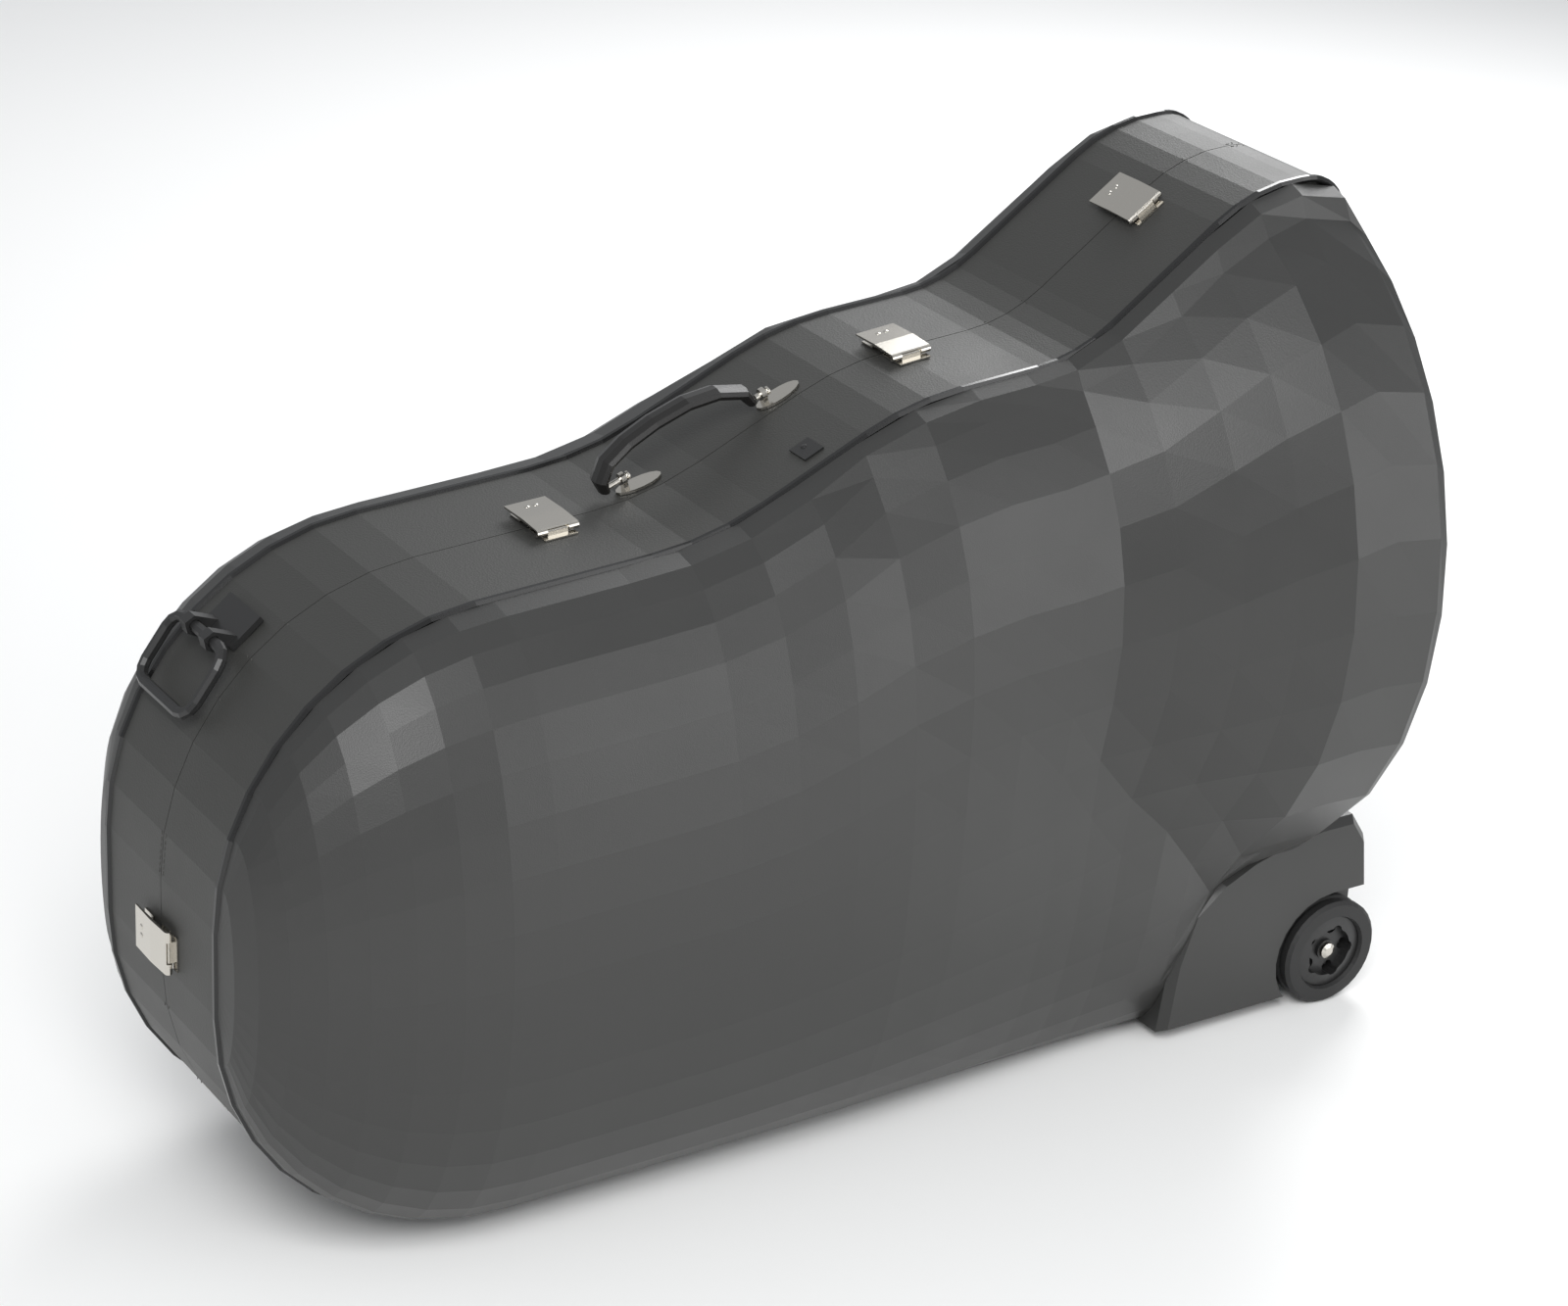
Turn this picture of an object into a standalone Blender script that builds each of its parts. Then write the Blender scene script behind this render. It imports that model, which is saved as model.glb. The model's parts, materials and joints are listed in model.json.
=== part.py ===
"""Tuba case: two moulded shells on a strap frame, with latches, handles, hinges and wheels.

Metres, +Z up. X runs from the narrow end to the bell end, -Y is the lid side, and the
case stands on its hinge side with Z = 0 under the wheels and feet.
"""
import math

import bmesh
import bpy
from mathutils import Matrix, Vector

MM = 0.001

# Driving dimensions in millimetres
frame_half_width = 90.0      # each half of the strap frame, from the split to its edge
split_gap = 0.4              # from the split plane to each half
frame_wall = 7.0
ground_clearance = 9.0       # from the floor to the frame
bell_end_x = 978.0
wheel_nose_x = 1058.0
shell_wall = 3.0
piping_radius = 3.2
body_depth = 112.0           # how far the body dome stands out of the frame
bell_centre_z = 428.0
bell_half_height = 304.5
bell_half_depth = 267.0
bell_throat = 0.70           # bell size at the throat, as a share of the mouth
flare_start_x = 715.0
flare_end_x = 880.0
edge_roll = 22.0             # rolled edge all round the shell
rim_roll = 14.0              # rounding of the bell rim
wheel_radius = 48.0
wheel_width = 24.0
wheel_x = 1017.0
arch_clearance = 7.5
housing_depth = 43.0         # wheel housing, out from the shell's flange
axle_radius = 5.0
running_gap = 0.3
seat_gap = 0.3
latch_width = 35.0
latch_length = 51.0
handle_y = 12.0
hinge_pin_radius = 1.5
hinge_z = 5.7
foot_radius = 14.0
foot_x = 235.0
foot_y = 60.0
opening_steps = 10.0         # degrees of arc per facet of the outline
origin_x = 527.95            # middle of the whole case, from the narrow end's latch to the wheels

flange_y = frame_half_width + 2 * piping_radius + 2 * seat_gap
wheel_face_y = 146.0
housing_y = flange_y + housing_depth
well_wall_y = wheel_face_y - wheel_width - 6.0

# Corners of the frame's side view (x, z, fillet radius), from the lower narrow corner
corners = [
    (0.0, ground_clearance, 217.0),
    (0.0, 499.7, 217.0),
    (401.0, 524.5, 265.0),
    (574.0, 606.0, 248.0),
    (727.0, 618.4, 135.0),
    (888.0, 735.5, 136.0),
    (bell_end_x, 735.5, 38.0),
    (bell_end_x, 215.0, 45.0),
    (wheel_nose_x, 155.0, 40.0),
    (wheel_nose_x, ground_clearance, 45.0),
]


def clear_scene():
    for obj in list(bpy.data.objects):
        bpy.data.objects.remove(obj, do_unlink=True)


def material(name, colour, roughness, metallic=0.0):
    mat = bpy.data.materials.get(name)
    if mat is None:
        mat = bpy.data.materials.new(name)
        mat.use_nodes = True
        shader = mat.node_tree.nodes["Principled BSDF"]
        shader.inputs["Base Color"].default_value = (*colour, 1.0)
        shader.inputs["Roughness"].default_value = roughness
        shader.inputs["Metallic"].default_value = metallic
    return mat


def abs_black():
    return material("moulded black ABS", (0.022, 0.022, 0.021), 0.42)


def leathercloth():
    return material("black leathercloth", (0.032, 0.032, 0.030), 0.6)


def rubber():
    return material("black rubber", (0.02, 0.02, 0.02), 0.5)


def nickel():
    return material("nickel plate", (0.72, 0.70, 0.66), 0.22, 1.0)


def plush():
    return material("charcoal plush", (0.03, 0.03, 0.035), 0.95)


def outline(inset=0.0):
    """Points of the frame's side view, with every fillet as an arc about a fixed centre."""
    points = []
    for i, (x, z, radius) in enumerate(corners):
        here = Vector((x, z))
        before = Vector(corners[i - 1][:2]) - here
        after = Vector(corners[(i + 1) % len(corners)][:2]) - here
        before.normalize()
        after.normalize()
        opening = before.angle(after)
        reach = radius / math.tan(opening / 2)
        centre = here + (before + after).normalized() * (radius / math.sin(opening / 2))
        start = here + before * reach - centre
        end = here + after * reach - centre
        a0 = math.atan2(start.y, start.x)
        turn = (math.atan2(end.y, end.x) - a0 + math.pi) % (2 * math.pi) - math.pi
        convex = turn < 0
        size = radius - inset if convex else radius + inset
        steps = max(2, math.ceil(abs(math.degrees(turn)) / opening_steps))
        for k in range(steps + 1):
            a = a0 + turn * k / steps
            points.append(centre + size * Vector((math.cos(a), math.sin(a))))
    return points


side_view = outline()


def strip_height(x):
    """Top of the frame at x."""
    best = ground_clearance
    for p, q in zip(side_view, side_view[1:] + side_view[:1]):
        low, high = min(p.x, q.x), max(p.x, q.x)
        if low <= x <= high and high - low > 1e-6:
            best = max(best, p.y + (q.y - p.y) * (x - p.x) / (q.x - p.x))
    return best


def strip_floor(x):
    """Bottom of the frame at x."""
    best = strip_height(x)
    for p, q in zip(side_view, side_view[1:] + side_view[:1]):
        low, high = min(p.x, q.x), max(p.x, q.x)
        if low <= x <= high and high - low > 1e-6:
            best = min(best, p.y + (q.y - p.y) * (x - p.x) / (q.x - p.x))
    return best


def add_mesh(name, verts, faces, mat, smooth=30.0):
    mesh = bpy.data.meshes.new(name)
    mesh.from_pydata([Vector(v) * MM for v in verts], [], faces)
    bm = bmesh.new()
    bm.from_mesh(mesh)
    bmesh.ops.recalc_face_normals(bm, faces=bm.faces)
    bm.to_mesh(mesh)
    bm.free()
    mesh.materials.append(mat)
    mesh.shade_smooth()
    mesh.set_sharp_from_angle(angle=math.radians(smooth))
    obj = bpy.data.objects.new(name, mesh)
    bpy.context.scene.collection.objects.link(obj)
    return obj


def box(name, low, high, mat):
    verts = [(x, y, z) for x in (low[0], high[0]) for y in (low[1], high[1]) for z in (low[2], high[2])]
    faces = [(0, 1, 3, 2), (4, 6, 7, 5), (0, 4, 5, 1), (2, 3, 7, 6), (0, 2, 6, 4), (1, 5, 7, 3)]
    return add_mesh(name, verts, faces, mat)


def prism(name, profile, low, high, mat, axis="Y"):
    """Extrude a closed profile along an axis, from low to high."""
    n = len(profile)
    verts = []
    for level in (low, high):
        for a, b in profile:
            verts.append({"X": (level, a, b), "Y": (a, level, b), "Z": (a, b, level)}[axis])
    faces = [tuple(range(n)), tuple(range(2 * n - 1, n - 1, -1))]
    faces += [(i, (i + 1) % n, n + (i + 1) % n, n + i) for i in range(n)]
    return add_mesh(name, verts, faces, mat)


def ring(name, outer, inner, low, high, mat):
    """A band between two matching side views, from y = low to y = high."""
    n = len(outer)
    verts = [(p.x, y, p.y) for y in (low, high) for loop in (outer, inner) for p in loop]
    faces = []
    for i in range(n):
        j = (i + 1) % n
        faces += [(i, j, n + j, n + i), (2 * n + i, 3 * n + i, 3 * n + j, 2 * n + j)]
        faces += [(i, 2 * n + i, 2 * n + j, j), (n + i, n + j, 3 * n + j, 3 * n + i)]
    return add_mesh(name, verts, faces, mat)


def turned(name, profile, centre, mat, steps=24, axis="Y"):
    """Turn a closed profile of (radius, along) points about an axis through centre."""
    verts, faces, n = [], [], len(profile)
    for s in range(steps):
        a = 2 * math.pi * s / steps
        for r, t in profile:
            across = (r * math.cos(a), r * math.sin(a))
            if axis == "Y":
                verts.append((centre[0] + across[0], centre[1] + t, centre[2] + across[1]))
            else:
                verts.append((centre[0] + t, centre[1] + across[0], centre[2] + across[1]))
    for s in range(steps):
        for i in range(n):
            j, u = (i + 1) % n, (s + 1) % steps
            faces.append((s * n + i, s * n + j, u * n + j, u * n + i))
    obj = add_mesh(name, verts, faces, mat)
    bm = bmesh.new()
    bm.from_mesh(obj.data)
    bmesh.ops.remove_doubles(bm, verts=bm.verts, dist=1e-6)
    bmesh.ops.dissolve_degenerate(bm, edges=bm.edges, dist=1e-7)
    bmesh.ops.recalc_face_normals(bm, faces=bm.faces)
    bm.to_mesh(obj.data)
    bm.free()
    return obj


def combine(target, tool, operation):
    """Join or cut the target with the tool, and drop the tool."""
    mod = target.modifiers.new(operation, "BOOLEAN")
    mod.operation = operation
    mod.object = tool
    evaluated = target.evaluated_get(bpy.context.evaluated_depsgraph_get())
    mesh = bpy.data.meshes.new_from_object(evaluated)
    target.modifiers.clear()
    target.data = mesh
    bpy.data.objects.remove(tool, do_unlink=True)
    return target


def flare(x):
    """Size of the bell at x, as a share of its mouth."""
    stages = [(380.0, 0.45), (440.0, 0.52), (500.0, 0.59), (574.0, 0.68),
              (flare_start_x, bell_throat), (flare_end_x, 1.0), (bell_end_x, 1.0)]
    if x <= stages[0][0]:
        return stages[0][1] * max(0.0, x) / stages[0][0]
    for (x0, s0), (x1, s1) in zip(stages, stages[1:]):
        if x <= x1:
            return s0 + (s1 - s0) * (x - x0) / (x1 - x0)
    return 1.0


def ease(x, start, end):
    t = min(1.0, max(0.0, (x - start) / (end - start)))
    return t * t * (3 - 2 * t)


def dome_depth(x, z):
    """How far the shell stands out of its flange at a point of the side view."""
    top, low = strip_height(x), strip_floor(x)
    run_in = 200.0
    nose = math.sqrt(max(0.0, 1 - (1 - min(x / run_in, 1.0)) ** 2))
    body_top = min(top, 560.0)
    mid, half = (body_top + low) / 2, max((body_top - low) / 2, 0.1)
    depth = body_depth * nose * (1 - 0.35 * ease(x, 480, 820) - 0.5 * ease(x, 800, bell_end_x))
    body = depth * math.sqrt(max(0.0, 1 - ((z - mid) / half) ** 2))
    size = max(flare(x), 1e-3)
    inside = 1 - ((z - bell_centre_z) / (bell_half_height * size)) ** 2
    bell = max(0.0, bell_half_depth * size * math.sqrt(max(0.0, inside)) - frame_half_width)
    gap = max(0.0, min(top - z, z - low))
    roll = edge_roll * math.sqrt(max(0.0, 1 - (1 - min(gap / edge_roll, 1.0)) ** 2))
    edge = roll * math.sqrt(max(0.0, 1 - (1 - min(x / edge_roll, 1.0)) ** 2))
    return (body ** 6 + bell ** 6 + edge ** 6) ** (1 / 6)


def stations():
    xs = [217.0 * (1 - math.cos(math.pi / 2 * i / 9)) for i in range(10)]
    xs += [217.0 + 51.0 * i for i in range(1, 10)]
    xs += [flare_start_x, 755.0, 800.0, 840.0, flare_end_x, 920.0, bell_end_x - rim_roll]
    return xs + [bell_end_x - rim_roll * (1 - math.sin(math.radians(a))) for a in (40, 90)]


def dome(name, across=18):
    """Closed dome of one shell on the lid side, its flat back on the flange plane."""
    rows = []
    for x in stations():
        short = max(0.0, x - (bell_end_x - rim_roll))
        sink = rim_roll - math.sqrt(max(0.0, rim_roll ** 2 - short ** 2))
        top, low = strip_height(x), strip_floor(x)
        if x > bell_end_x - 60:
            low = ground_clearance
        row = []
        for j in range(across + 1):
            z = (top + low) / 2 + (top - low) / 2 * math.cos(math.pi * j / across)
            k = max(0.0, dome_depth(min(x, bell_end_x - 0.5), z) - sink)
            if j in (0, across):
                k = 0.0
            row.append((x, -flange_y - k, z))
        rows.append(row)
    n = across + 1
    verts = [v for row in rows for v in row]
    faces = []
    for i in range(len(rows) - 1):
        for j in range(across):
            a = i * n + j
            faces.append((a, a + 1, a + n + 1, a + n))
    last = (len(rows) - 1) * n
    faces.append(tuple(last + j for j in range(n)))
    back = [i * n for i in range(len(rows))] + [i * n + across for i in reversed(range(len(rows)))]
    back += list(range(across - 1, 0, -1))
    faces.append(tuple(back))
    return add_mesh(name, verts, faces, abs_black(), 40.0)


def hollow(obj, wall):
    """Open the flat back and give the skin its wall, measured inwards."""
    bm = bmesh.new()
    bm.from_mesh(obj.data)
    bmesh.ops.remove_doubles(bm, verts=bm.verts, dist=0.0002)
    bmesh.ops.dissolve_degenerate(bm, edges=bm.edges, dist=1e-5)
    bmesh.ops.recalc_face_normals(bm, faces=bm.faces)
    plane = -flange_y * MM
    back = [f for f in bm.faces if all(abs(v.co.y - plane) < 1e-5 for v in f.verts) and abs(f.normal.y) > 0.9]
    bmesh.ops.delete(bm, geom=back, context="FACES")
    bm.to_mesh(obj.data)
    bm.free()
    mod = obj.modifiers.new("wall", "SOLIDIFY")
    mod.thickness = wall * MM
    mod.offset = -1.0
    mod.use_even_offset = False
    mesh = bpy.data.meshes.new_from_object(obj.evaluated_get(bpy.context.evaluated_depsgraph_get()))
    obj.modifiers.clear()
    obj.data = mesh
    for v in mesh.vertices:
        v.co.y = min(v.co.y, plane)
    return obj


def housing(name):
    """Moulded wheel housing at the foot of the bell end."""
    profile = [(842.0, ground_clearance), (849.0, 70.0), (864.0, 118.0), (893.0, 142.0), (925.0, 157.0),
               (962.0, 167.0), (1000.0, 172.0), (1035.0, 172.0), (1050.0, 150.0),
               (wheel_nose_x - 1.5, 106.0), (wheel_nose_x - 1.5, 30.0), (1040.0, ground_clearance)]
    n = len(profile)
    verts = []
    centre = (960.0, 80.0)
    for y, scale in ((flange_y, 1.0), (housing_y - 8.0, 0.995), (housing_y, 0.94)):
        for x, z in profile:
            verts.append((centre[0] + (x - centre[0]) * scale, -y, centre[1] + (z - centre[1]) * scale))
    faces = [tuple(range(n)), tuple(range(3 * n - 1, 2 * n - 1, -1))]
    for level in range(2):
        for i in range(n):
            a, b = level * n + i, level * n + (i + 1) % n
            faces.append((a, b, b + n, a + n))
    return add_mesh(name, verts, faces, abs_black())


def wheel_well(name):
    """The space that the wheel turns in, open below and towards the bell end."""
    r = wheel_radius + arch_clearance
    profile = []
    for k in range(13):
        a = math.pi / 2 + math.pi * k / 12
        profile.append((wheel_x + r * math.cos(a), wheel_radius + r * math.sin(a)))
    profile += [(wheel_nose_x + 40, wheel_radius - r), (wheel_nose_x + 40, wheel_radius + r)]
    return prism(name, profile, -housing_y - 20, -well_wall_y, abs_black())


def shell(name):
    obj = combine(dome(name), housing("housing"), "UNION")
    obj = combine(obj, wheel_well("well"), "DIFFERENCE")
    return hollow(obj, shell_wall)


def flipped(name, source):
    """The far side's twin of a lid-side piece, mirrored in the split plane."""
    evaluated = source.evaluated_get(bpy.context.evaluated_depsgraph_get())
    mesh = bpy.data.meshes.new_from_object(evaluated)
    mesh.transform(Matrix.Scale(-1, 4, Vector((0, 1, 0))))
    mesh.flip_normals()
    obj = bpy.data.objects.new(name, mesh)
    bpy.context.scene.collection.objects.link(obj)
    return obj


def piping(name, y):
    """A round bead that follows the frame's edge."""
    loop, sides = outline(0.5), 6
    n = len(loop)
    verts, faces = [], []
    for i, p in enumerate(loop):
        along = (loop[(i + 1) % n] - loop[i - 1]).normalized()
        out = Vector((-along.y, along.x))
        for s in range(sides):
            a = 2 * math.pi * (s + 0.5) / sides
            q = p + out * piping_radius * math.cos(a)
            verts.append((q.x, y + piping_radius * math.sin(a), q.y))
    for i in range(n):
        for s in range(sides):
            a, b = i * sides + s, i * sides + (s + 1) % sides
            c, d = ((i + 1) % n) * sides + (s + 1) % sides, ((i + 1) % n) * sides + s
            faces.append((a, b, c, d))
    return add_mesh(name, verts, faces, rubber(), 80.0)


def strip_frame(x, reach=18.0):
    """Height and slope of a flat seat of this reach that rests on the frame at x."""
    left, right = strip_height(x - reach), strip_height(x + reach)
    slope = (right - left) / (2 * reach)
    middle = (left + right) / 2
    lift = max(strip_height(x + reach * k / 10) - middle - slope * reach * k / 10 for k in range(-10, 11))
    return middle + max(0.0, lift), math.atan(slope)


def place(obj, x, y, z, angle):
    obj.matrix_world = Matrix.Translation(Vector((x, y, z)) * MM) @ Matrix.Rotation(-angle, 4, "Y")
    return obj


def latch(number, x, z, angle):
    """Lever plate, hook, base and catch: local X along the frame, Z out of it."""
    pin_y, pin_z, half = -22.5, 5.0, latch_width / 2
    far = latch_length - 24.0
    curl = [(pin_y + 2.9 * math.cos(a), pin_z + 2.9 * math.sin(a))
            for a in [math.radians(90 + 30 * k) for k in range(8)]]
    curl += [(pin_y + 1.7 * math.cos(a), pin_z + 1.7 * math.sin(a))
             for a in [math.radians(300 - 30 * k) for k in range(8)]]
    top = [(pin_y, pin_z + 1.7), (far, 7.3), (far, 8.5), (0.0, 9.1)]
    lever = prism(f"latch_{number}_lever", curl[:-1] + top, -half, half, nickel(), "X")
    slot = box("slot", (-9.0, -30.0, -1.0), (9.0, -18.0, pin_z + 2.2), nickel())
    combine(lever, slot, "DIFFERENCE")
    hook = prism(f"latch_{number}_hook", [(6.0, 6.2), (20.8, 6.2), (20.8, 4.1), (18.5, 4.1), (18.5, 3.1),
                                          (22.0, 3.1), (22.0, 7.0), (6.0, 7.0)], -6.0, 6.0, nickel(), "X")
    base = box(f"latch_{number}_base", (-14.0, -30.0, seat_gap), (14.0, -4.0, 1.5), nickel())
    lug = prism("lug", [(pin_y + 1.6, 1.2), (pin_y + 1.8, pin_z), (pin_y, pin_z + 1.8),
                        (pin_y - 1.8, pin_z), (pin_y - 1.6, 1.2)], -8.5, 8.5, nickel(), "X")
    combine(base, lug, "UNION")
    pin = turned("pin", [(0.0, -16.5), (1.35, -16.5), (1.35, 16.5), (0.0, 16.5)],
                 (0.0, pin_y, pin_z), nickel(), 12, "X")
    combine(base, pin, "UNION")
    catch = box(f"latch_{number}_catch", (-13.0, 11.0, seat_gap), (13.0, 26.0, 1.5), nickel())
    ridge = prism("ridge", [(14.0, 1.2), (17.5, 1.2), (17.0, 2.7), (15.0, 2.7)], -7.0, 7.0, nickel(), "X")
    combine(catch, ridge, "UNION")
    for obj in (lever, hook, base, catch):
        place(obj, x, 0.0, z, angle)


def carry_handle():
    """Leather grip on two swivel pins, each in an eye on an oval plate."""
    xl, xr, height = 386.0, 508.0, 12.0
    left = Vector((xl, strip_height(xl) + height))
    right = Vector((xr, strip_height(xr) + height))
    span = (right - left).length
    tilt = math.atan2(right.y - left.y, right.x - left.x)
    path = [(-17.0, -1.0), (-18.0, 9.0), (-8.0, 20.0), (12.0, 26.5), (38.0, 29.5), (68.0, 29.0),
            (94.0, 23.0), (span - 16.0, 11.0), (span - 11.0, -1.0)]
    verts, faces, sides = [], [], 10
    for i, (u, w) in enumerate(path):
        a = Vector(path[max(i - 1, 0)])
        b = Vector(path[min(i + 1, len(path) - 1)])
        along = (b - a).normalized()
        out = Vector((-along.y, along.x))
        end = 0.72 if i in (0, len(path) - 1) else 1.0
        for s in range(sides):
            t = 2 * math.pi * s / sides
            q = Vector((u, w)) + out * 5.5 * end * math.sin(t)
            verts.append((q.x, 10.5 * end * math.cos(t), q.y))
    for i in range(len(path) - 1):
        for s in range(sides):
            a, b = i * sides + s, i * sides + (s + 1) % sides
            faces.append((a, b, b + sides, a + sides))
    faces += [tuple(range(sides)), tuple(range(len(verts) - 1, len(verts) - sides - 1, -1))]
    grip = add_mesh("handle_grip", verts, faces, material("black leather", (0.02, 0.02, 0.02), 0.45), 50.0)
    place(grip, left.x, handle_y, left.y, tilt)
    for side, u in (("left", 0.0), ("right", span)):
        start = -13.0 if side == "left" else -6.5
        pin = turned(f"handle_pin_{side}", [(0.0, u + start), (2.3, u + start), (2.3, u + 4.0),
                                            (3.4, u + 4.0), (3.4, u + 6.0), (0.0, u + 6.0)],
                     (0.0, 0.0, 0.0), nickel(), 12, "X")
        place(pin, left.x, handle_y, left.y, tilt)
        grip_cut = turned("cut", [(0.0, u + start - 1), (2.6, u + start - 1), (2.6, u + 4.0), (0.0, u + 4.0)],
                          (0.0, 0.0, 0.0), nickel(), 12, "X")
        place(grip_cut, left.x, handle_y, left.y, tilt)
        bpy.context.view_layer.update()
        combine(grip, grip_cut, "DIFFERENCE")
        eye = turned(f"handle_mount_{side}", [(2.6, u - 2.0), (5.0, u - 2.0), (5.0, u + 2.0), (2.6, u + 2.0)],
                     (0.0, 0.0, 0.0), nickel(), 16, "X")
        neck = box("neck", (u - 2.0, -3.5, -10.4), (u + 2.0, 3.5, -4.0), nickel())
        combine(eye, neck, "UNION")
        place(eye, left.x, handle_y, left.y, tilt)
        foot = [(20.0 * math.cos(2 * math.pi * k / 16), 8.5 * math.sin(2 * math.pi * k / 16))
                for k in range(16)]
        plate = prism("plate", foot, seat_gap, 2.4, nickel(), "Z")
        plate_x = (xl if side == "left" else xr) + 15.0
        seat_z, slope = strip_frame(plate_x, 20.0)
        place(plate, plate_x, handle_y, seat_z, slope)
        bpy.context.view_layer.update()
        combine(eye, plate, "UNION")


def pull_handle():
    """Loop that swings on its own cross bar in two lugs of a screwed plate."""
    pivot, centre_y, half = Vector((55.0, 463.5)), 45.0, 43.0
    length, thick = 56.0, 4.5
    lean = math.atan2(0.58, 0.81)
    path, r = [], 14.0
    for cy, cu, a0 in ((half - r, r, 270), (half - r, length - r, 0),
                       (-half + r, length - r, 90), (-half + r, r, 180)):
        for k in range(4):
            a = math.radians(a0 + 30 * k)
            path.append((cy + r * math.cos(a), cu + r * math.sin(a)))
    verts, faces, sides, n = [], [], 8, len(path)
    for i, (v, u) in enumerate(path):
        p0, p1 = Vector(path[i - 1]), Vector(path[(i + 1) % n])
        along = (p1 - p0).normalized()
        out = Vector((along.y, -along.x))
        for s in range(sides):
            t = 2 * math.pi * (s + 0.5) / sides
            q = Vector((v, u)) + out * thick * math.cos(t)
            verts.append((thick * math.sin(t), q.x, -q.y))
    for i in range(n):
        for s in range(sides):
            a, b = i * sides + s, i * sides + (s + 1) % sides
            c, d = ((i + 1) % n) * sides + (s + 1) % sides, ((i + 1) % n) * sides + s
            faces.append((a, b, c, d))
    loop = add_mesh("pull_loop", verts, faces, rubber(), 50.0)
    loop.matrix_world = (Matrix.Translation(Vector((pivot.x, centre_y, pivot.y)) * MM)
                         @ Matrix.Rotation(lean, 4, "Y"))
    x = 80.0
    z, angle = strip_frame(x)
    drop = Vector((pivot.x - x, pivot.y - z))
    u = drop.x * math.cos(angle) + drop.y * math.sin(angle)
    w = -drop.x * math.sin(angle) + drop.y * math.cos(angle)
    mount = box("pull_mount", (-14.0, -25.0, seat_gap), (17.0, 25.0, 5.0), rubber())
    for low, high in ((-21.0, -11.0), (11.0, 21.0)):
        lug = prism("lug", [(-12.0, 1.0), (-4.0, 4.5), (u + 5.0, w + 6.5), (u - 4.0, w + 8.0),
                            (u - 8.0, w), (u - 5.0, w - 7.0)], low, high, rubber())
        combine(mount, lug, "UNION")
    bore = turned("bore", [(0.0, -30.0), (thick + running_gap, -30.0), (thick + running_gap, 30.0), (0.0, 30.0)],
                  (u, 0.0, w), rubber(), 16)
    combine(mount, bore, "DIFFERENCE")
    place(mount, x, centre_y, z, angle)


def wheel(side, sign):
    """Tyre, spoked hub and flanged axle in one wheel well."""
    face, r = wheel_face_y, wheel_radius
    centre = (wheel_x, 0.0, wheel_radius)
    inner = face - wheel_width
    tyre = [(33.0, inner + 2), (r - 3, inner), (r, inner + 3), (r, inner + 9), (r - 2, inner + 11),
            (r - 2, inner + 13), (r, inner + 15), (r, face - 3), (r - 3, face), (34.5, face), (33.0, face - 3)]
    hub = [(axle_radius + running_gap, inner + 1), (11.0, inner + 1), (11.0, inner + 7), (28.0, inner + 7),
           (28.0, inner + 3), (32.7, inner + 3), (32.7, face - 4), (22.0, face - 2), (22.0, face - 10),
           (9.0, face - 10), (9.0, face - 7), (axle_radius + running_gap, face - 7)]
    wall = well_wall_y + seat_gap
    axle = [(0.0, wall), (12.0, wall), (12.0, wall + 2.5), (axle_radius, wall + 2.5), (axle_radius, face - 6.6),
            (7.5, face - 6.6), (7.0, face - 4.0), (4.0, face - 2.5), (0.0, face - 2.0)]
    for name, profile, steps, mat in ((f"{side}_tyre", tyre, 32, rubber()), (f"{side}_hub", hub, 24, abs_black()),
                                      (f"{side}_axle", axle, 16, nickel())):
        obj = turned(name, [(a, sign * b) for a, b in profile], centre, mat, steps)
        if name.endswith("hub"):
            for k in range(5):
                a = 2 * math.pi * k / 5
                c = (wheel_x + 19.5 * math.cos(a), 0.0, wheel_radius + 19.5 * math.sin(a))
                cut = turned("cut", [(0.0, sign * inner), (5.5, sign * inner), (5.5, sign * face),
                                     (0.0, sign * face)], c, mat, 10)
                combine(obj, cut, "DIFFERENCE")


def hinge(number, x):
    """Butt hinge under the split: two leaves and a pin."""
    pin = turned(f"hinge_{number}_pin", [(0.0, -24.5), (hinge_pin_radius, -24.5), (hinge_pin_radius, 24.5),
                                         (0.0, 24.5)], (x, 0.0, hinge_z), nickel(), 10, "X")
    top = ground_clearance - seat_gap
    for side, sign, spans in (("far", 1, ((-25.0, -9.0), (9.0, 25.0))), ("near", -1, ((-8.6, 8.6),))):
        low, high = sorted((sign * 3.5, sign * 28.0))
        leaf = box(f"hinge_{number}_{side}_leaf", (x - 25, low, top - 1.5), (x + 25, high, top), nickel())
        for a, b in spans:
            t0, t1 = sorted((sign * 0.2, sign * 4.0))
            combine(leaf, box("tab", (x + a, t0, top - 1.5), (x + b, t1, top), nickel()), "UNION")
            combine(leaf, turned("knuckle", [(0.0, a), (top - hinge_z, a), (top - hinge_z, b), (0.0, b)],
                                 (x, 0.0, hinge_z), nickel(), 16, "X"), "UNION")
        hole = turned("hole", [(0.0, -30.0), (hinge_pin_radius + running_gap, -30.0),
                               (hinge_pin_radius + running_gap, 30.0), (0.0, 30.0)],
                      (x, 0.0, hinge_z), nickel(), 12, "X")
        combine(leaf, hole, "DIFFERENCE")
    return pin


def piping_clip(name, x, sign):
    """Tab that covers the joint of a piping bead, with its rivet."""
    z, angle = strip_frame(x)
    tab = box(name, (-9.0, -6.0, 0.0), (9.0, 16.0, 1.4), rubber())
    rivet = turned("rivet", [(0.0, 0.0), (2.6, 0.0), (2.0, 1.2), (0.0, 1.6)], (0.0, 0.0, 0.0), nickel(), 10)
    rivet.data.transform(Matrix.Rotation(math.pi / 2, 4, "X"))
    rivet.data.transform(Matrix.Translation(Vector((0.0, 9.0, 1.0)) * MM))
    combine(tab, rivet, "UNION")
    place(tab, x, sign * (frame_half_width - 18.0), z + seat_gap + 0.1, angle)
    return tab


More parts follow.
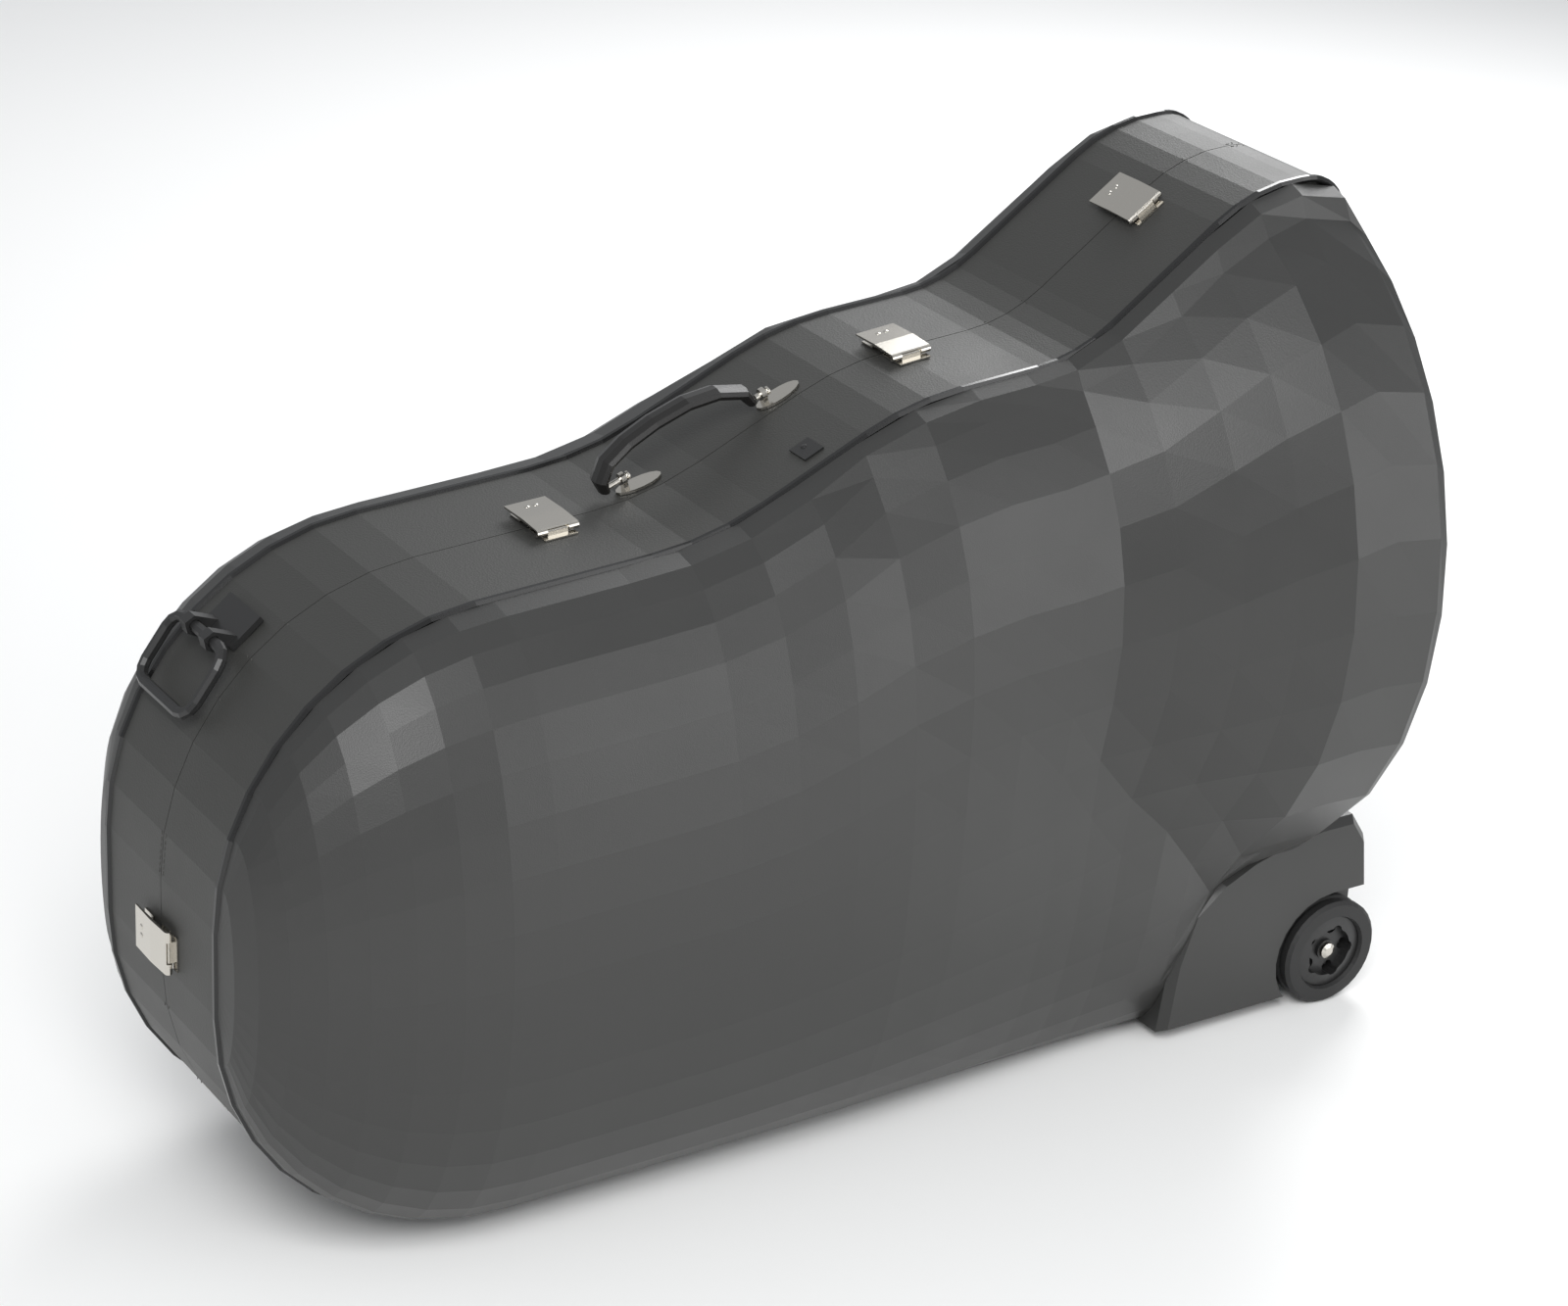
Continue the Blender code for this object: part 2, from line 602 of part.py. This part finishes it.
def cradle(name, x, width, height, dip):
    """Plush block on the floor of the far half, dished for the instrument."""
    base = strip_floor(x) + frame_wall + seat_gap
    block = box(name, (x - width / 2, 34.0, base), (x + width / 2, 84.0, base + height), plush())
    dish = turned("dish", [(0.0, 20.0), (dip, 20.0), (dip, 95.0), (0.0, 95.0)],
                  (x, 0.0, base + height + 0.45 * dip), plush(), 24)
    return combine(block, dish, "DIFFERENCE")


def main():
    clear_scene()
    near = shell("near_shell")
    flipped("far_shell", near)
    inner = outline(frame_wall)
    ring("far_frame", side_view, inner, split_gap, frame_half_width, leathercloth())
    ring("near_frame", side_view, inner, -frame_half_width, -split_gap, leathercloth())
    bead_y = frame_half_width + seat_gap + piping_radius
    piping("far_piping", bead_y)
    piping("near_piping", -bead_y)
    ring("frame_valance", outline(frame_wall + 0.6), outline(frame_wall + 2.6), -7.0, 20.0,
         material("brushed aluminium", (0.6, 0.6, 0.6), 0.4, 1.0))
    piping_clip("near_piping_clip", 499.0, -1)
    cradle("bow_cradle", 330.0, 150.0, 90.0, 80.0)
    cradle("bell_cradle", 690.0, 120.0, 110.0, 70.0)
    for number, x in ((2, 311.0), (3, 620.0), (4, 838.0)):
        z, angle = strip_frame(x)
        latch(number, x, z, angle)
    latch(1, 0.0, 246.0, math.pi / 2)
    carry_handle()
    pull_handle()
    wheel("near", -1)
    wheel("far", 1)
    for number, x in ((1, 290.0), (2, 560.0), (3, 830.0)):
        hinge(number, x)
    for side, sign in (("near", -1), ("far", 1)):
        foot = turned(f"{side}_foot", [(0.0, 0.0), (foot_radius - 2, 0.0), (foot_radius, 2.0),
                                       (foot_radius, ground_clearance - seat_gap),
                                       (0.0, ground_clearance - seat_gap)], (0.0, 0.0, 0.0), rubber(), 20)
        foot.data.transform(Matrix.Rotation(math.pi / 2, 4, "X"))
        foot.data.transform(Matrix.Translation(Vector((foot_x, sign * foot_y, 0.0)) * MM))
    bpy.context.view_layer.update()
    for obj in bpy.data.objects:
        obj.matrix_world = Matrix.Translation(Vector((-origin_x * MM, 0.0, 0.0))) @ obj.matrix_world


main()
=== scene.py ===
import json
import math

import bpy
from mathutils import Matrix, Vector

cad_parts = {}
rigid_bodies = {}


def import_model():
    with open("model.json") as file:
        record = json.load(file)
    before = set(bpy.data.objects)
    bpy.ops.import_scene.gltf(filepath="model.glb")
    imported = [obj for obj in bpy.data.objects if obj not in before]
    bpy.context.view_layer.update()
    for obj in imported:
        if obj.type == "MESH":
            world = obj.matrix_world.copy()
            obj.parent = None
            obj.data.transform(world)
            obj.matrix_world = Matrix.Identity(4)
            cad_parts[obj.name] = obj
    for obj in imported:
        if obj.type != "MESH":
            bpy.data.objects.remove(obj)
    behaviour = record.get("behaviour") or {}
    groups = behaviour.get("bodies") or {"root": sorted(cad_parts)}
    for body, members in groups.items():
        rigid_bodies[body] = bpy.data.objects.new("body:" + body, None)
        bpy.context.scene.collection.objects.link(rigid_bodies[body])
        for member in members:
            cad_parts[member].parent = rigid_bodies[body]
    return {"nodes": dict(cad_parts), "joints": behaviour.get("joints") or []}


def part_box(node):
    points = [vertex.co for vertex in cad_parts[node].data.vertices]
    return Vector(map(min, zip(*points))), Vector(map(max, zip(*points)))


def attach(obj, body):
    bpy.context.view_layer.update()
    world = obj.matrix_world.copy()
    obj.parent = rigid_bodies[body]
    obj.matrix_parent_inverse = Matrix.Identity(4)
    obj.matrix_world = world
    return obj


# One millimetre in scene units
mm = 0.001

# The view of the photograph, in metres
camera = {
    "place": (-1.56445, -2.34375, 1.6589),
    "right": (0.84269, -0.53586, 0.05224),
    "up": (0.18347, 0.37703, 0.90785),
    "back": (-0.50617, -0.75545, 0.41603),
    "lens": 90.29,
    "sensor": 36.0,
}

# Each finish: material name, colour, roughness, metallic, and a grain where it has one.
# A grain is its cell size in mm, bump strength, bump depth in mm and unevenness of gloss.
finishes = {
    # Vacuum-formed black ABS with a fine haircell grain
    "shell": ("hairCellAbs", "#2f2f2e", 0.40, 0.0, (1.1, 0.35, 0.12, 0.06)),
    # Vinyl leathercloth glued over the plywood frame
    "cloth": ("vinylLeathercloth", "#353533", 0.52, 0.0, (1.6, 0.5, 0.2, 0.06)),
    # Extruded glossy PVC edge piping
    "piping": ("glossyPvcPiping", "#161616", 0.16, 0.0, None),
    # Solid rubber tyres and feet
    "rubber": ("solidRubber", "#1c1c1c", 0.62, 0.0, (0.8, 0.2, 0.05, 0.06)),
    # Injection-moulded nylon
    "darkPlastic": ("mouldedNylon", "#222222", 0.36, 0.0, None),
    # Polished nickel plate with faint rubbing marks
    "nickel": ("nickelPlate", "#c8c4bc", 0.20, 1.0, (2.5, 0.04, 0.02, 0.05)),
    # Aluminium strip with a satin finish
    "aluminium": ("satinAluminium", "#b0b0ae", 0.35, 1.0, None),
    # Short-pile plush over foam
    "plush": ("plushPile", "#26262a", 0.95, 0.0, (0.7, 0.8, 0.3, 0.03)),
    # Waxed leather grip
    "grip": ("waxedLeather", "#191817", 0.38, 0.0, (0.9, 0.4, 0.08, 0.06)),
    # Bonded polyester thread
    "thread": ("polyesterThread", "#4a4a47", 0.6, 0.0, None),
    # Painted studio floor
    "floor": ("paintedFloor", "#f4f4f3", 0.9, 0.0, None),
}
glossClouds = {"scale": 14.0, "detail": 4.0}

# Thread along the split, in mm; an end is thinner than the middle by taper
stitches = {
    "pitch": 5.0, "length": 3.4, "radius": 0.35, "offset": 3.2,
    "lift": 0.15, "shoulder": 0.7, "taper": 0.4, "sides": 6,
}

# Two rivet heads on each latch plate, in mm from the lever's pivot
rivets = {"radius": 2.4, "height": 1.0, "apart": 3.6, "across": 39.0, "out": 3.55}

floorSize = 60.0
floorDrop = 0.0005

# Each light: name, place, target, size in metres and power in watts
lights = [
    ("keyLight", (-1.6, -2.2, 2.8), (0, 0, 0.35), 1.8, 95),
    ("rimLight", (2.2, 1.8, 2.2), (0, 0, 0.4), 1.5, 60),
    ("fillLight", (1.8, -2.6, 1.2), (0.2, 0, 0.3), 2.2, 40),
]
softLight = {"colour": (0.9, 0.92, 0.95, 1), "strength": 0.55}
backdrop = {"colour": (1, 1, 1, 1), "strength": 1.0}


def toLinear(hexColour):
    channels = [int(hexColour[i:i + 2], 16) / 255 for i in (1, 3, 5)]
    linear = [c / 12.92 if c <= 0.04045 else ((c + 0.055) / 1.055) ** 2.4 for c in channels]
    return (*linear, 1.0)


def addGrain(mat, shader, size, strength, depth, wear):
    # Fine surface grain with a little uneven gloss
    tree = mat.node_tree
    coords = tree.nodes.new("ShaderNodeTexCoord")
    grain = tree.nodes.new("ShaderNodeTexVoronoi")
    grain.inputs["Scale"].default_value = 1 / (size * mm)
    cloud = tree.nodes.new("ShaderNodeTexNoise")
    cloud.inputs["Scale"].default_value = glossClouds["scale"]
    cloud.inputs["Detail"].default_value = glossClouds["detail"]
    gloss = tree.nodes.new("ShaderNodeMapRange")
    rough = shader.inputs["Roughness"].default_value
    gloss.inputs["To Min"].default_value = rough - wear
    gloss.inputs["To Max"].default_value = rough + wear
    bump = tree.nodes.new("ShaderNodeBump")
    bump.inputs["Strength"].default_value = strength
    bump.inputs["Distance"].default_value = depth * mm
    tree.links.new(coords.outputs["Object"], grain.inputs["Vector"])
    tree.links.new(coords.outputs["Object"], cloud.inputs["Vector"])
    tree.links.new(cloud.outputs["Fac"], gloss.inputs["Value"])
    tree.links.new(gloss.outputs["Result"], shader.inputs["Roughness"])
    tree.links.new(grain.outputs["Distance"], bump.inputs["Height"])
    tree.links.new(bump.outputs["Normal"], shader.inputs["Normal"])


def makeMaterials():
    mats = {}
    for key, (name, colour, roughness, metallic, grain) in finishes.items():
        mat = bpy.data.materials.new(name)
        mat.use_nodes = True
        shader = mat.node_tree.nodes["Principled BSDF"]
        shader.inputs["Base Color"].default_value = toLinear(colour)
        shader.inputs["Roughness"].default_value = roughness
        shader.inputs["Metallic"].default_value = metallic
        if grain:
            addGrain(mat, shader, *grain)
        mats[key] = mat
    return mats


def pickMaterial(name):
    if name.endswith("_shell"):
        return "shell"
    if name.endswith("_frame"):
        return "cloth"
    if name.endswith("_piping"):
        return "piping"
    if name.endswith(("piping_clip", "_hub")) or name.startswith("pull_"):
        return "darkPlastic"
    if name.endswith(("_tyre", "_foot")):
        return "rubber"
    if name.endswith("cradle"):
        return "plush"
    if name == "handle_grip":
        return "grip"
    if name == "frame_valance":
        return "aluminium"
    return "nickel"


def paint(obj, mat):
    obj.data.materials.clear()
    obj.data.materials.append(mat)


def outwards(direction):
    # Away from the frame, square to a direction that runs along it
    return Vector((-direction.z, 0.0, direction.x))


def topOfFrame(frame):
    # The top edge of the far half at the split, followed along the case
    mesh = frame["nodes"]["far_frame"].data
    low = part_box("far_frame")[0]
    edge = [v.co.copy() for v in mesh.vertices if v.co.y < low.y + 0.1 * mm]
    points = {}
    for co in edge:
        key = round(co.x, 4)
        if key not in points or points[key].z < co.z:
            points[key] = co
    return [points[k] for k in sorted(points)]


def stitchPlaces(y, path):
    # Evenly spaced spots along the path, each with the direction that the frame runs there
    places = []
    step = stitches["pitch"] * mm
    total = 0.0
    for start, end in zip(path, path[1:]):
        span = end - start
        length = span.length
        if length < 1e-6:
            continue
        direction = span / length
        along = step - total % step
        while along < length:
            spot = start + direction * along
            lift = outwards(direction) * stitches["lift"] * mm
            places.append((Vector((spot.x, y, spot.z)) + lift, direction))
            along += step
        total += length
    return places


def addStitches(name, y, path, body, mat):
    # One row of thread laid along the frame, each stitch a short rounded bar
    bpy.ops.object.select_all(action="DESELECT")
    verts, faces = [], []
    half, radius = stitches["length"] * mm / 2, stitches["radius"] * mm
    inner, taper, sides = half * stitches["shoulder"], stitches["taper"], stitches["sides"]
    rings = ((-half, taper), (-inner, 1.0), (inner, 1.0), (half, taper))
    side = Vector((0.0, 1.0, 0.0))
    for spot, direction in stitchPlaces(y, path):
        normal = outwards(direction)
        first = len(verts)
        for along, size in rings:
            for k in range(sides):
                a = 2 * math.pi * k / sides
                offset = normal * math.sin(a) * radius * size + side * math.cos(a) * radius * size
                verts.append(spot + direction * along + offset)
        for level in range(len(rings) - 1):
            for k in range(sides):
                a = first + level * sides + k
                b = first + level * sides + (k + 1) % sides
                faces.append((a, b, b + sides, a + sides))
        last = first + (len(rings) - 1) * sides
        faces.append(tuple(first + k for k in reversed(range(sides))))
        faces.append(tuple(last + k for k in range(sides)))
    mesh = bpy.data.meshes.new(name)
    mesh.from_pydata([tuple(v) for v in verts], [], faces)
    mesh.shade_smooth()
    obj = bpy.data.objects.new(name, mesh)
    bpy.context.scene.collection.objects.link(obj)
    paint(obj, mat)
    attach(obj, body)


def addRivet(name, spot, normal, body, mat):
    # A domed rivet head pressed on to the plate
    bpy.ops.object.select_all(action="DESELECT")
    bpy.ops.mesh.primitive_uv_sphere_add(segments=20, ring_count=10, radius=1.0)
    head = bpy.context.object
    head.name = name
    turn = Vector((0, 0, 1)).rotation_difference(normal).to_matrix().to_4x4()
    radius, height = rivets["radius"] * mm, rivets["height"] * mm
    size = Matrix.Diagonal((radius, radius, height, 1.0))
    head.data.transform(Matrix.Translation(spot) @ turn @ size)
    bpy.ops.object.shade_smooth()
    paint(head, mat)
    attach(head, body)


def addLatchRivets(frame, mat):
    across = Vector((0, rivets["across"] * mm, 0))
    for joint in frame["joints"]:
        if not joint["name"].startswith("latch_"):
            continue
        number = joint["name"].split("_")[1]
        along = Vector(joint["axis"])
        out = outwards(along)
        pivot = Vector(joint["pos_m"])
        for letter, side in (("A", -1), ("B", 1)):
            spot = pivot + along * side * rivets["apart"] * mm + across + out * rivets["out"] * mm
            addRivet(f"latch{number}Rivet{letter}", spot, out, f"latch_{number}_swing", mat)


def addStage(mat):
    bpy.ops.object.select_all(action="DESELECT")
    bpy.ops.mesh.primitive_plane_add(size=floorSize, location=(0, 0, -floorDrop))
    floor = bpy.context.object
    floor.name = "studioFloor"
    paint(floor, mat)


def addLight(name, place, target, size, power):
    data = bpy.data.lights.new(name, "AREA")
    data.size = size
    data.energy = power
    lamp = bpy.data.objects.new(name, data)
    bpy.context.scene.collection.objects.link(lamp)
    lamp.location = place
    aim = Vector(target) - Vector(place)
    lamp.rotation_euler = aim.to_track_quat("-Z", "Y").to_euler()


def addWorld():
    # Soft light on the object, and a white background where the camera sees past it
    world = bpy.data.worlds.new("studioWorld")
    world.use_nodes = True
    tree = world.node_tree
    soft = tree.nodes["Background"]
    soft.inputs["Color"].default_value = softLight["colour"]
    soft.inputs["Strength"].default_value = softLight["strength"]
    white = tree.nodes.new("ShaderNodeBackground")
    white.inputs["Color"].default_value = backdrop["colour"]
    white.inputs["Strength"].default_value = backdrop["strength"]
    seen = tree.nodes.new("ShaderNodeLightPath")
    mix = tree.nodes.new("ShaderNodeMixShader")
    tree.links.new(seen.outputs["Is Camera Ray"], mix.inputs["Fac"])
    tree.links.new(soft.outputs["Background"], mix.inputs[1])
    tree.links.new(white.outputs["Background"], mix.inputs[2])
    tree.links.new(mix.outputs["Shader"], tree.nodes["World Output"].inputs["Surface"])
    bpy.context.scene.world = world


def addCamera():
    data = bpy.data.cameras.new("photoCamera")
    data.lens = camera["lens"]
    data.sensor_width = camera["sensor"]
    obj = bpy.data.objects.new("photoCamera", data)
    bpy.context.scene.collection.objects.link(obj)
    rows = zip(camera["right"], camera["up"], camera["back"], camera["place"])
    obj.matrix_world = Matrix([list(row) for row in rows] + [[0, 0, 0, 1]])
    bpy.context.scene.camera = obj


def main():
    for obj in list(bpy.data.objects):
        bpy.data.objects.remove(obj, do_unlink=True)
    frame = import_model()
    bpy.ops.object.select_all(action="DESELECT")
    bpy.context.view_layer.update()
    print("stage: materials")
    mats = makeMaterials()
    for name, obj in frame["nodes"].items():
        paint(obj, mats[pickMaterial(name)])
    print("stage: stitching")
    path = topOfFrame(frame)
    for side, sign, body in (("far", 1, "case_half"), ("near", -1, "lid")):
        y = sign * stitches["offset"] * mm
        addStitches(f"{side}SplitStitches", y, path, body, mats["thread"])
    print("stage: rivets")
    addLatchRivets(frame, mats["nickel"])
    print("stage: studio")
    addStage(mats["floor"])
    addWorld()
    for light in lights:
        addLight(*light)
    bpy.context.scene.view_settings.view_transform = "Standard"
    addCamera()


main()
